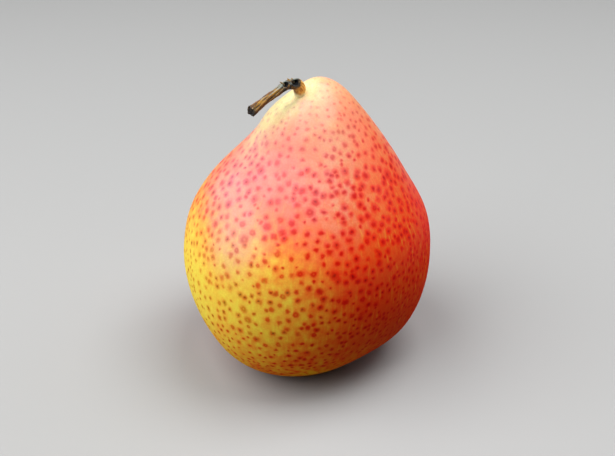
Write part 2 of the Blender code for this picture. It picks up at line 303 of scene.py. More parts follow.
def fruitOutline():
    rows = fruitSetup["outline"]
    rows = [(-rows[1][0], rows[1][1], 0)] + rows + [(-rows[-2][0], rows[-2][1], 0)]
    curve = curveThrough([row[:2] for row in rows], [row[2] for row in rows])[:-1]
    hole, depth = fruitSetup["stemHole"], fruitSetup["stemHoleDepth"]
    curve = [tuple(p) for p in curve if p[1] < fruitSetup["dimpleFade"][0] or p[0] > hole]
    rim = curve[-1][1]
    return curve + [(hole * 0.9, rim - depth * 0.5), (hole * 0.8, rim - depth)]


def makeFruit():
    outline = np.array(fruitOutline())[1:]
    angle = np.linspace(0, 2 * math.pi, fruitSetup["sides"], endpoint=False)[None, :]
    radius = np.repeat(outline[:, :1], angle.size, 1)
    height = np.repeat(outline[:, 1:], angle.size, 1)
    plain = np.stack([radius * np.cos(angle), radius * np.sin(angle), height], -1)
    dents = sum(share * (1 + noiseAt(plain, size, size)) for share, size in fruitSetup["dents"])
    tones = {"acrossRight": np.repeat(np.cos(angle), len(outline), 0),
             "acrossBack": np.repeat(np.sin(angle), len(outline), 0), "rise": outline[:, 1]}
    # shallow folds run out from the calyx
    folds = fruitSetup["foldDepth"] * np.cos(fruitSetup["folds"] * angle + 0.6 * np.sin(3 * angle))
    ring, width = fruitSetup["foldRing"]
    folds = folds * np.exp(-((radius - ring) / width) ** 2) * (height < fruitSetup["basinTop"])
    return pieceFrom("fruitSkin", [(fruitPlaces(radius * (1 - dents), height + folds, angle), tones)])


def fieldOver(points, patches):
    left = np.ones(len(points))
    for place, reach, strength in patches:
        away = np.linalg.norm(points - np.array(place), axis=1) / reach
        left *= 1 - strength * np.exp(-away ** 3)
    return 1 - left


def paintFields(piece, fields):
    points = np.empty(len(piece.data.vertices) * 3)
    piece.data.vertices.foreach_get("co", points)
    points = points.reshape(-1, 3) / mm
    for name, patches in fields.items():
        layer = piece.data.attributes.new(name, "FLOAT", "POINT")
        layer.data.foreach_set("value", fieldOver(points, patches))


def scatterSpeckles(piece):
    # places, radii and kinds of the speckles: random points of the skin, kept if no other is too near
    setup = fruitSetup
    draw = np.random.default_rng(setup["speckleSeed"])
    mesh = piece.data
    middles, areas = np.empty(len(mesh.polygons) * 3), np.empty(len(mesh.polygons))
    mesh.polygons.foreach_get("center", middles)
    mesh.polygons.foreach_get("area", areas)
    middles = middles.reshape(-1, 3) / mm
    chosen = draw.choice(len(areas), setup["speckleTries"], p=areas / areas.sum())
    tries = middles[chosen] + draw.uniform(-0.3, 0.3, (setup["speckleTries"], 3))
    fine = fieldOver(tries, setup["fields"]["fine"])
    apart = setup["speckleApart"] + (setup["speckleApartFine"] - setup["speckleApart"]) * fine
    radius = setup["speckleRadius"] + (setup["speckleRadiusFine"] - setup["speckleRadius"]) * fine
    radius = radius * np.exp(setup["speckleSpread"] * draw.standard_normal(setup["speckleTries"]))
    tiny = draw.random(setup["speckleTries"]) < setup["tinyShare"]
    radius = np.where(tiny, setup["tinyRadius"], radius)
    apart = apart * draw.uniform(0.75, 1.15, setup["speckleTries"])
    apart = np.where(draw.random(setup["speckleTries"]) < setup["pairShare"], apart / 2, apart)
    kept = np.zeros((0, 3))
    picked = []
    for number, place in enumerate(tries):
        if not len(kept) or np.min(np.sum((kept - place) ** 2, axis=1)) > apart[number] ** 2:
            kept = np.vstack([kept, place])
            picked.append(number)
    return kept, radius[picked], draw.random(len(picked)), middles


def paintSpeckles(piece):
    # each face keeps the places of its two nearest speckles, so the material can draw them round
    places, radii, kinds, middles = scatterSpeckles(piece)
    tree = kdtree.KDTree(len(places))
    for number, place in enumerate(places):
        tree.insert(place, number)
    tree.balance()
    nearest = np.array([[found[1] for found in tree.find_n(middle, 2)] for middle in middles])
    for rank in range(2):
        at = nearest[:, rank]
        layer = piece.data.attributes.new(f"speckle{rank}", "FLOAT_VECTOR", "FACE")
        layer.data.foreach_set("vector", (places[at] * mm).ravel())
        layer = piece.data.attributes.new(f"speckleKind{rank}", "FLOAT_VECTOR", "FACE")
        layer.data.foreach_set("vector", np.stack([radii[at] * mm, kinds[at], at * 0], 1).ravel())
    return len(places)


def swayed(tree, name, uneven, share):
    # a field pushed up and down by the unevenness, most where it is half strong
    field = addNode(tree, "Attribute", attribute_name=name).outputs["Fac"]
    rest = addNode(tree, "Math", 1.0, field, operation="SUBTRACT")
    room = addNode(tree, "Math", field, rest, operation="MULTIPLY")
    push = addNode(tree, "Math", uneven, 4 * share, operation="MULTIPLY")
    return addNode(tree, "Math", push, room, field, operation="MULTIPLY_ADD", use_clamp=True)


def speckleReach(tree, place, rank):
    # distance to a speckle's middle over its radius, and its kind
    middle = addNode(tree, "Attribute", attribute_name=f"speckle{rank}").outputs["Vector"]
    facts = addNode(tree, "Attribute", attribute_name=f"speckleKind{rank}").outputs["Vector"]
    facts = addNode(tree, "SeparateXYZ", facts)
    away = addNode(tree, "VectorMath", place, middle, operation="DISTANCE")
    return addNode(tree, "Math", away, facts.outputs["X"], operation="DIVIDE"), facts.outputs["Y"]


def skinMaterial():
    # Pear skin under its own wax: thin, slightly clear skin over pale flesh. The eye gets a soft broad
    # shine on the shoulders, none low down, a little light from inside, and colour that lies in the skin,
    # with a painted sheen in pale pink on the upper left and painted shade low on the right.
    look = fruitSetup
    made, tree, shader = startMaterial("waxy pear skin, blushed and speckled")
    place = addNode(tree, "TexCoord").outputs["Object"]
    height = addNode(tree, "SeparateXYZ", place).outputs["Z"]

    mottle = addNode(tree, "TexNoise", place, 1 / (look["mottleSize"] * mm), 2.0)
    mottle = addNode(tree, "Math", mottle, 0.5, operation="SUBTRACT")
    fine = addNode(tree, "TexNoise", place, 1 / (look["fineSize"] * mm), 2.0)
    fine = addNode(tree, "Math", fine, 0.5, operation="SUBTRACT")
    # streaks run from the stem to the calyx, and are quiet in the basin
    streakPlace = streakPlaces(tree, look["outline"][5][0] * mm, look["streakLength"])
    streaks = addNode(tree, "TexNoise", streakPlace, 1 / (look["streakWidth"] * mm), 3.0)
    streaks = addNode(tree, "Math", streaks, 0.5, operation="SUBTRACT")
    aboveBasin = addNode(tree, "MapRange", height, 3 * mm, 20 * mm, interpolation_type="SMOOTHSTEP")
    streaks = addNode(tree, "Math", streaks, aboveBasin, operation="MULTIPLY")
    uneven = 0.0
    for pattern, share in ((mottle, "mottleShare"), (fine, "fineShare"), (streaks, "streakShare")):
        uneven = addNode(tree, "Math", pattern, look[share], uneven, operation="MULTIPLY_ADD")

    yellow = swayed(tree, "yellow", uneven, 1.0)
    yellowStreaks = addNode(tree, "MapRange", streaks, 0.02, 0.25, interpolation_type="SMOOTHSTEP")
    yellow = addNode(tree, "Math", yellowStreaks, 0.07, yellow, operation="MULTIPLY_ADD", use_clamp=True)
    paintedSheen = swayed(tree, "paintedSheen", uneven, -0.35)
    cream = swayed(tree, "cream", uneven, 0.4)
    russet = addNode(tree, "Math", swayed(tree, "russet", uneven, 1.5), 0.8, operation="MULTIPLY")
    limeAndPaintedShade, paintedShadeLow, vivid, fineField, faint = [
        addNode(tree, "Attribute", attribute_name=name).outputs["Fac"]
        for name in ("limeAndPaintedShade", "paintedShadeLow", "vivid", "fine", "faint")]
    # the pale parts hold the cream and the painted sheen alike
    pale = addNode(tree, "Math", paintedSheen, cream, operation="ADD", use_clamp=True)
    # pink clouds on the pale parts, red flames on the vivid ones
    clouds = addNode(tree, "Math", fine, 0.4, mottle, operation="MULTIPLY_ADD")
    clouds = addNode(tree, "MapRange", clouds, -0.06, 0.14, interpolation_type="SMOOTHSTEP")
    flushed = addNode(tree, "Math", pale, clouds, operation="MULTIPLY")
    flames = addNode(tree, "Math", mottle, 0.5, fine, operation="MULTIPLY_ADD")
    flames = addNode(tree, "MapRange", flames, -0.09, 0.13, interpolation_type="SMOOTHSTEP")
    flaming = addNode(tree, "Math", vivid, flames, operation="MULTIPLY")
    grain = addNode(tree, "TexNoise", place, 1 / (look["grainSize"] * mm), 2.0)
    grain = addNode(tree, "MapRange", grain, 0.75, 0.3, interpolation_type="SMOOTHSTEP")

    ground = look["red"]
    # painted light in this list: the pale pink patches are a painted sheen, the darkening low on the right is
    # painted shade, and the greenish tint left of the stem is partly painted shade
    for share, name, blend in (
            (yellow, "yellow", "MIX"), (paintedSheen, "paintedSheen", "MIX"), (cream, "cream", "MIX"),
            (flushed, "flush", "MULTIPLY"), (vivid, "glow", "MULTIPLY"), (flaming, "flame", "MULTIPLY"),
            (limeAndPaintedShade, "limeAndPaintedShade", "MIX"), (paintedShadeLow, "paintedShadeLow", "MULTIPLY"), (russet, "russet", "MIX"),
            (grain, "grain", "MULTIPLY")):
        ground = addNode(tree, "Mix", share, ground, look[name], data_type="RGBA", blend_type=blend)

    # the nearer of two speckles, from a place that strays a little, so that edges aren't round
    stray = addNode(tree, "TexNoise", place, 1 / (look["spotWarpSize"] * mm), 1.0).outputs["Color"]
    stray = addNode(tree, "VectorMath", stray, (0.5, 0.5, 0.5), operation="SUBTRACT")
    strayed = addNode(tree, "VectorMath", stray, (2 * look["spotWarp"] * mm,) * 3, place,
                      operation="MULTIPLY_ADD")
    (near, nearKind), (far, farKind) = [speckleReach(tree, strayed, rank) for rank in range(2)]
    reach = addNode(tree, "Math", near, far, operation="MINIMUM")
    farther = addNode(tree, "Math", far, near, operation="LESS_THAN")
    kind = addNode(tree, "Mix", farther, nearKind, farKind, data_type="FLOAT")

    # a wide halo: weaker on cream and yellow skin and on the crown, stronger where speckles are vivid
    halo = addNode(tree, "MapRange", reach, *look["haloEdge"], interpolation_type="SMOOTHSTEP")
    crown = addNode(tree, "MapRange", height, 62 * mm, 86 * mm, interpolation_type="SMOOTHSTEP")
    for share, change in ((cream, -0.5), (yellow, -0.35), (crown, -1.0), (vivid, 0.7)):
        factor = addNode(tree, "Math", share, change, 1.0, operation="MULTIPLY_ADD")
        halo = addNode(tree, "Math", halo, factor, operation="MULTIPLY", use_clamp=True)
    vividHalo = addNode(tree, "Math", halo, vivid, operation="MULTIPLY")
    # on the pale parts, which hold the painted sheen as well as the cream, the halo turns pinker
    redHalo, paleHalo = [
        addNode(tree, "Mix", halo, ground, look[name], data_type="RGBA", blend_type="MULTIPLY")
        for name in ("halo", "haloPale")]
    colour = addNode(tree, "Mix", pale, redHalo, paleHalo, data_type="RGBA")
    colour = addNode(tree, "Mix", vividHalo, colour, look["haloVivid"], data_type="RGBA",
                     blend_type="MULTIPLY")

    # the speckle itself, with a soft edge; it fades on pale skin, under the painted sheen and up the neck
    core = addNode(tree, "MapRange", reach, *look["speckleEdge"], interpolation_type="SMOOTHSTEP")
    middle = addNode(tree, "MapRange", reach, *look["poreEdge"], interpolation_type="SMOOTHSTEP")
    shoulder = addNode(tree, "MapRange", height, 44 * mm, 74 * mm, interpolation_type="SMOOTHSTEP")
    fading = 0.0
    for share, change in ((paintedSheen, 0.35), (cream, 0.6), (yellow, 0.3), (fineField, -0.25), (faint, 0.35),
                          (vivid, -0.4), (shoulder, 0.6)):
        fading = addNode(tree, "Math", share, change, fading, operation="MULTIPLY_ADD")
    lasting = addNode(tree, "Math", 1.05, fading, operation="SUBTRACT", use_clamp=True)
    body = addNode(tree, "MapRange", kind, 0.0, 0.5, interpolation_type="SMOOTHSTEP")
    body = addNode(tree, "Math", body, 0.3, 0.7, operation="MULTIPLY_ADD")
    paleMiddle = addNode(tree, "MapRange", kind, 0.82, 0.86, interpolation_type="SMOOTHSTEP")
    paleMiddle = addNode(tree, "Math", middle, paleMiddle, operation="MULTIPLY")
    paleMiddle = addNode(tree, "Math", paleMiddle, -0.35, 1.0, operation="MULTIPLY_ADD")
    strength = core
    for part in (lasting, body, paleMiddle):
        strength = addNode(tree, "Math", strength, part, operation="MULTIPLY")
    browning = addNode(tree, "MapRange", yellow, 0.5, 1.0, interpolation_type="SMOOTHSTEP")
    speckled = addNode(tree, "Mix", 1.0, colour, look["speckleRed"], data_type="RGBA",
                       blend_type="MULTIPLY")
    # under the painted sheen the speckles take a pink tint, as a painted highlight
    for share, name in ((browning, "speckleBrown"), (paintedSheen, "speckleBloom"), (cream, "speckleCream")):
        other = addNode(tree, "Mix", 1.0, colour, look[name], data_type="RGBA", blend_type="MULTIPLY")
        speckled = addNode(tree, "Mix", share, speckled, other, data_type="RGBA")
    colour = addNode(tree, "Mix", strength, colour, speckled, data_type="RGBA")

    # a dark pore in most of them, darker on the yellow side and under the painted shade low on the right
    pore = addNode(tree, "MapRange", kind, 0.8, 0.5, interpolation_type="SMOOTHSTEP")
    pore = addNode(tree, "Math", middle, pore, operation="MULTIPLY")
    yellowSide = addNode(tree, "MapRange", yellow, 0.3, 0.9, interpolation_type="SMOOTHSTEP")
    darkSides = addNode(tree, "Math", yellowSide, paintedShadeLow, operation="MAXIMUM")
    darkPore = addNode(tree, "Math", pore, darkSides, operation="MULTIPLY")
    for share, name in ((pore, "pore"), (darkPore, "poreDark")):
        colour = addNode(tree, "Mix", share, colour, look[name], data_type="RGBA", blend_type="MULTIPLY")
    plug(tree, colour, shader.inputs["Base Color"])

    # the wax alone shines, so the level of the plain gloss is nil
    (thin, thick), (low, high) = look["wax"], look["waxHeights"]
    waxed = addNode(tree, "MapRange", height, low * mm, high * mm, interpolation_type="SMOOTHSTEP")
    waxed = addNode(tree, "Math", waxed, thick - thin, thin, operation="MULTIPLY_ADD")
    # every speckle stands a hair above the skin, with its pore sunk in
    relief = addNode(tree, "TexNoise", place, 1 / (look["reliefSize"] * mm), 2.0)
    relief = addNode(tree, "Math", relief, 0.6, core, operation="MULTIPLY_ADD")
    relief = addNode(tree, "Math", pore, -0.8, relief, operation="MULTIPLY_ADD")
    bump = addNode(tree, "Bump", 0.5, look["reliefDepth"] * mm)
    plug(tree, relief, bump.inputs["Height"])
    for name, value in (("Coat Weight", waxed), ("Coat Roughness", look["waxRoughness"]),
                        ("Specular IOR Level", 0.0), ("Roughness", look["roughness"]),
                        ("IOR", look["index"]), ("Subsurface Weight", look["glowOfFlesh"]),
                        ("Subsurface Radius", look["fleshSpread"]),
                        ("Subsurface Scale", look["fleshDepth"] * mm),
                        ("Normal", bump), ("Coat Normal", bump)):
        plug(tree, value, shader.inputs[name])
    return made


fruitSkin = makeFruit()
paintFields(fruitSkin, fruitSetup["fields"])
print("speckles:", paintSpeckles(fruitSkin))
fruitSkin.data.materials.append(skinMaterial())
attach(fruitSkin, "root")
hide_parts("fruit")
print("fruit:", len(fruitSkin.data.polygons), "faces")


# the stem: the solid's route swept with bark ridges, two old fruit scars with hollows painted near
# black as shade, and a broken end whose face is painted dark as shade

stemSetup = {
    # place and radius in millimetres, rings up to the next one
    "route": [((-1.75, -1.55, 75.6), 1.15, 8), ((-2.0, -2.1, 77.45), 1.45, 14),
              ((-2.2, -2.9, 79.15), 1.42, 12), ((-3.1, -3.85, 80.05), 1.28, 20),
              ((-5.05, -5.35, 80.2), 1.05, 18), ((-7.27, -7.2, 79.4), 0.95, 16),
              ((-9.4, -8.8, 78.35), 0.93, 18), ((-11.7, -10.6, 77.1), 1.0, 14),
              ((-13.4, -11.9, 76.25), 1.25, 0)],
    "sides": 64,
    "ridges": 7, "ridgeHeight": 0.09, "twist": 0.11,          # share of the radius, radians a millimetre
    "lumpSize": 1.1, "lumpHeight": 0.12, "barkSize": 0.35, "barkHeight": 0.05,
    "stubs": [((-2.9, -3.75, 79.85), (-3.0, -5.25, 81.0), 1.1),
              ((-4.95, -5.3, 80.0), (-5.3, -6.5, 80.95), 0.9)],
    "hollowFloor": 0.45,                                       # share of the stub's length
    # along the stub's axis, radius, painted shade: skirt, rim, then down into the hollow
    "stubProfile": [(0.1, 0.95, 0), (0.5, 1.08, 0), (0.8, 1.04, 0), (0.95, 0.96, 0.1), (1.0, 0.84, 0.35),
                    (0.94, 0.74, 0.8), (0.75, 0.68, 1), (0.55, 0.6, 1), (0.45, 0.3, 1)],
    "spurs": [((-3.6, -4.3, 80.4), (-3.75, -4.5, 81.75), 0.3),
              ((-4.35, -4.9, 80.5), (-4.75, -4.9, 81.8), 0.26),
              ((-5.7, -5.8, 80.2), (-6.5, -6.1, 81.4), 0.3)],

    # partly painted highlight: the last colour on the next line is the grey of the film on what faces up
    "bark": "#a4761c", "barkRed": "#744414", "groove": "#40280e", "soot": "#1c201a", "filmAndPaintedHighlight": "#8f9484",
    # painted light and shade on the next line: the pale foot colour is brightened against the shade of the
    # crevice, and the last colour is near black for the shade in the hollows and on the broken end
    "flesh": "#fcbe52", "fleshDark": "#c67d2c", "paleFoot": "#fff0b8", "hollow": "#08070a",
    # patterns, in millimetres; real bark fibres are about 0.05 wide, too fine to show, so drawn coarser
    "streakSize": 0.3, "streakLength": 9,                      # length over width
    "redSize": 0.8, "blotchSize": 0.9, "fleckSize": 0.45,
    "scarSize": 0.7, "scar": (0.34, 0.3, 0.34),                # factors on what lies under
    "roughness": 0.7, "barkDepth": 0.15,
}


def stemGrids():
    shape = stemSetup
    middles, radii, outward, ahead, along, angle = sweptRings(shape["route"], shape["sides"])
    plain = middles[:, None, :] + outward * radii[:, None, None]
    ridges = np.cos(shape["ridges"] * angle[None, :] + shape["twist"] * along[:, None] * shape["ridges"])
    lumps = noiseAt(plain, shape["lumpSize"])
    bark = noiseAt(plain, shape["barkSize"], 7.0)
    footFade = smooth((along - 2.5) / 3)[:, None]
    grown = 1 + shape["ridgeHeight"] * ridges * footFade
    grown = grown + shape["lumpHeight"] * lumps + shape["barkHeight"] * bark
    rings = middles[:, None, :] + outward * (radii[:, None] * grown)[..., None]
    sunk = np.zeros(rings.shape[:2])
    for low, high, radius in shape["stubs"]:
        # the tube's own skin sinks under each hollow
        axis = np.array(high) - low
        length = np.linalg.norm(axis)
        axis /= length
        up = (rings - low) @ axis
        aside = np.linalg.norm(rings - low - up[..., None] * axis, axis=-1)
        floor = length * shape["hollowFloor"] * 0.9
        inside = (aside < radius * 0.8) & (up > floor)
        rings = np.where(inside[..., None], rings - (up - floor)[..., None] * axis, rings)
        sunk = np.maximum(sunk, inside)
    # the broken end: an uneven lip round a sunk, splintered middle
    lip = 0.35 * np.cos(angle - 0.6) + 0.18 * np.cos(3 * angle + 1) + 0.12 * np.cos(7 * angle)
    end, direction = rings[-1], ahead[-1]
    rings[-1] = end + direction * lip[:, None]
    closing = []
    for share, sink in ((0.86, -0.05), (0.66, -0.45), (0.4, -0.35), (0.15, -0.6)):
        inner = middles[-1] + (rings[-1] - middles[-1]) * share
        rough = 0.22 * noiseAt(inner, 0.45, 3.0)
        closing.append(inner + direction * (sink + rough)[:, None])
    rings = np.concatenate([rings, closing])
    full = np.concatenate([along, np.full(4, along[-1])])[:, None]
    outward = np.concatenate([outward, outward[[-1] * 4]])
    # painted shade: the tube's skin under each hollow and the broken end's face are drawn near black
    paintedHollowShade = np.concatenate([sunk, np.repeat([[0.45], [0.9], [0.8], [0.9]], shape["sides"], 1)])
    crest = np.concatenate([ridges, ridges[[-1] * 4]]) * 0.5 + 0.5
    # golden flesh at the foot, most on its right; soot round the scars and on the end; grey film and painted
    # highlight on the saddle, where it faces up
    foot = (1 - smooth((full - 3.6) / 2.4)) * smooth(0.55 + outward @ [0.75, -0.1, -0.3])
    soot = np.maximum(smooth((full - 5.8) / 1.6) * (1 - smooth((full - 9.4) / 2.0)),
                      0.85 * smooth((full - (along[-1] - 1.6)) / 1.2))
    saddle = np.exp(-((full - 6.5) / 0.7) ** 2) * smooth(outward @ [0, -0.3, 0.9])
    # painted light: the pale base of the foot is drawn bright against the shade where it meets the skin
    tones = {"filmAndPaintedHighlight": saddle, "paintedHollowShade": paintedHollowShade, "foot": foot, "soot": soot * np.ones_like(foot), "crest": crest,
             "paleBaseAndPaintedLight": 1 - smooth((full[:, 0] - 1.3) / 1.5), "rise": full[:, 0],
             "acrossRight": np.repeat(np.cos(angle)[None, :], len(full), 0),
             "acrossBack": np.repeat(np.sin(angle)[None, :], len(full), 0)}
    grids = [(rings, tones)]

    for number, (low, high, radius) in enumerate(shape["stubs"]):
        axis = (np.array(high) - low) / np.linalg.norm(np.array(high) - low)
        side = np.cross(axis, [1, 0, 0])
        side /= np.linalg.norm(side)
        turn = np.linspace(0, 2 * math.pi, 40, endpoint=False)
        spokes = np.outer(np.cos(turn), side) + np.outer(np.sin(turn), np.cross(axis, side))
        rings = np.array([np.array(low) + (np.array(high) - low) * where + spokes * radius * wide
                          for where, wide, _ in shape["stubProfile"]])
        lumps = 0.36 * noiseAt(rings, 0.9, 11.0 + number) + 0.12 * noiseAt(rings, 0.3, 5.0)
        middle = rings.mean(1, keepdims=True)
        rings = middle + (rings - middle) * (1 + lumps)[..., None]
        rings[2:-2] += (0.2 * noiseAt(rings[2:-2], 0.7, 21.0 + number))[..., None] * axis
        paintedHollowShade = [row[2] for row in shape["stubProfile"]]
        upTheStub = np.array([[0.1], [0.4]] + [[1.0]] * (len(paintedHollowShade) - 2))
        # painted highlight: the rims are greyer on the side that faces up and to the left, where the light
        # comes from
        rimFilmAndPaintedHighlight = smooth(0.2 + spokes @ [-0.8, 0.3, 0.5])[None, :] * upTheStub
        flat = np.zeros(len(paintedHollowShade))
        grids.append((rings, {"filmAndPaintedHighlight": rimFilmAndPaintedHighlight, "paintedHollowShade": paintedHollowShade, "foot": flat, "soot": flat + 0.9,
                              "crest": flat + 0.3, "paleBaseAndPaintedLight": flat, "rise": flat + number,
                              "acrossRight": np.cos(turn) + rings[..., 0] * 0,
                              "acrossBack": np.sin(turn) + rings[..., 0] * 0}))

    for low, high, radius in shape["spurs"]:
        low, high = np.array(low), np.array(high)
        knots = [(low + (high - low) * where + np.array([0.25, 0, 0]) * math.sin(where * 4),
                  radius * wide, 3)
                 for where, wide in ((0, 1.2), (0.35, 1.0), (0.7, 0.75), (1, 0.3))]
        knots[-1] = (*knots[-1][:2], 0)
        middles, radii, outward, ahead, along, angle = sweptRings(knots, 12)
        rings = middles[:, None, :] + outward * radii[:, None, None]
        flat = np.zeros(len(radii))
        grids.append((rings, {"filmAndPaintedHighlight": flat + 0.3, "paintedHollowShade": flat, "foot": flat,
                              "soot": 0.9 - along / along[-1], "crest": flat + 0.9, "paleBaseAndPaintedLight": flat,
                              "rise": along, "acrossRight": flat, "acrossBack": flat}))
    return grids


def stemMaterial():
    # Pear wood, still in its bark, dried and weathered. The eye gets matt golden stripes between dark
    # grooves, soot-black scars with a grey film on what faces up, partly a painted highlight, hollows and a
    # broken end painted near black as shade, and a fleshy foot that is near the skin, its pale base painted
    # bright against the shade of the crevice.
    look = stemSetup
    made, tree, shader = startMaterial("weathered pear-wood bark, ridged, sooty round the scars")
    place = addNode(tree, "TexCoord").outputs["Object"]
    streakPlace = streakPlaces(tree, 1 * mm, look["streakLength"])
    streaks = addNode(tree, "TexNoise", streakPlace, 1 / (look["streakSize"] * mm), 3.0)
    reds = addNode(tree, "TexNoise", streakPlace, 1 / (look["redSize"] * mm), 2.0)
    flecks = addNode(tree, "TexNoise", streakPlace, 1 / (look["fleckSize"] * mm), 1.0)
    blotches = addNode(tree, "TexNoise", place, 1 / (look["blotchSize"] * mm), 3.0)
    scars = addNode(tree, "TexNoise", place, 1 / (look["scarSize"] * mm), 2.0)
    crest, foot, soot, filmAndPaintedHighlight, paleBaseAndPaintedLight, paintedHollowShade = [
        addNode(tree, "Attribute", attribute_name=name).outputs["Fac"]
        for name in ("crest", "foot", "soot", "filmAndPaintedHighlight", "paleBaseAndPaintedLight", "paintedHollowShade")]
    upward = addNode(tree, "SeparateXYZ", addNode(tree, "NewGeometry").outputs["Normal"]).outputs["Z"]

    # red-brown in long stripes, golden crests, dark grooves, and small scars that break the stripes up
    reddish = addNode(tree, "MapRange", reds, 0.42, 0.6, interpolation_type="SMOOTHSTEP")
    bark = addNode(tree, "Mix", reddish, look["bark"], look["barkRed"], data_type="RGBA")
    crested = addNode(tree, "Math", crest, 0.45, operation="MULTIPLY")
    crested = addNode(tree, "Math", streaks, 1.5, crested, operation="MULTIPLY_ADD")
    crested = addNode(tree, "MapRange", crested, 0.6, 0.92, interpolation_type="SMOOTHSTEP")
    bark = addNode(tree, "Mix", crested, look["groove"], bark, data_type="RGBA")
    scarred = addNode(tree, "MapRange", scars, 0.53, 0.66, interpolation_type="SMOOTHSTEP")
    bark = addNode(tree, "Mix", scarred, bark, look["scar"], data_type="RGBA", blend_type="MULTIPLY")
    fibres = addNode(tree, "MapRange", streaks, 0.36, 0.56, interpolation_type="SMOOTHSTEP")
    flesh = addNode(tree, "Mix", fibres, look["fleshDark"], look["flesh"], data_type="RGBA")

    sooty = addNode(tree, "MapRange", blotches, 0.3, 0.48, interpolation_type="SMOOTHSTEP")
    sooty = addNode(tree, "Math", soot, sooty, operation="MULTIPLY")
    # a grey film in flecks on what faces up, partly a painted highlight, but not on the foot, and on the rims
    # of the hollows
    facing = addNode(tree, "MapRange", upward, 0.35, 0.8, interpolation_type="SMOOTHSTEP")
    flecked = addNode(tree, "MapRange", flecks, 0.54, 0.62, interpolation_type="SMOOTHSTEP")
    offFoot = addNode(tree, "Math", 0.7, foot, operation="SUBTRACT", use_clamp=True)
    filmAndPaintedHighlightShare = addNode(tree, "Math", facing, flecked, operation="MULTIPLY")
    filmAndPaintedHighlightShare = addNode(tree, "Math", filmAndPaintedHighlightShare, offFoot, operation="MULTIPLY")
    rimmed = addNode(tree, "MapRange", blotches, 0.35, 0.55, interpolation_type="SMOOTHSTEP")
    rimmed = addNode(tree, "Math", filmAndPaintedHighlight, rimmed, operation="MULTIPLY")
    filmAndPaintedHighlightShare = addNode(tree, "Math", filmAndPaintedHighlightShare, rimmed, operation="MAXIMUM")

    colour = addNode(tree, "Mix", foot, bark, flesh, data_type="RGBA")
    # painted light and shade here: the film is partly a painted highlight, the pale foot is painted bright
    # against the crevice's shade, and the hollows and broken end are painted near black as shade
    for share, name in ((sooty, "soot"), (filmAndPaintedHighlightShare, "filmAndPaintedHighlight"), (paleBaseAndPaintedLight, "paleFoot"), (paintedHollowShade, "hollow")):
        colour = addNode(tree, "Mix", share, colour, look[name], data_type="RGBA")
    bump = addNode(tree, "Bump", 0.7, look["barkDepth"] * mm)
    plug(tree, streaks, bump.inputs["Height"])
    for name, value in (("Base Color", colour), ("Roughness", look["roughness"]), ("Normal", bump)):
        plug(tree, value, shader.inputs[name])
    return made


stem = pieceFrom("stemBark", stemGrids())
stem.data.materials.append(stemMaterial())
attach(stem, "root")
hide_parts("stem")
print("stem:", len(stem.data.polygons), "faces")


# the calyx in the basin underneath: a corky disc, five curled dry sepals and a tuft of stamens

calyxSetup = {
    "middle": (-1.04, 0.6), "top": 5.2,             # the eye of the basin, millimetres
    # the disc's radius and height from the eye
    "disc": [(0.9, -0.1), (1.9, -0.25), (2.15, -0.5), (2.0, -0.8), (1.2, -0.62), (0.6, -0.9)],
    "sepals": 5,
    # along the sepal: distance from the middle, drop, half width, cup
    "sepalRun": [(0.9, 0.45, 0.7, 0.05), (1.8, 0.5, 1.15, 0.15), (2.8, 0.95, 1.2, 0.3),
                 (3.7, 1.6, 0.95, 0.42), (4.5, 2.3, 0.6, 0.4), (5.1, 2.85, 0.32, 0.25),
                 (5.4, 3.25, 0.1, 0.05)],
    "sepalThickness": 0.32,
    "stamens": 16, "stamenLength": 1.9, "stamenRadius": 0.11,

    "dry": "#38230f", "pale": "#7b5a30", "edge": "#94754a", "tip": "#150d09", "wool": "#6f6350",
    # patterns, in millimetres; real sepal fibres are about 0.05 wide, too fine to show, so drawn coarser
    "fibreSize": 0.22, "fibreLength": 8, "woolSize": 1.4,      # length over width
    "roughness": 0.8, "fibreDepth": 0.1,
}


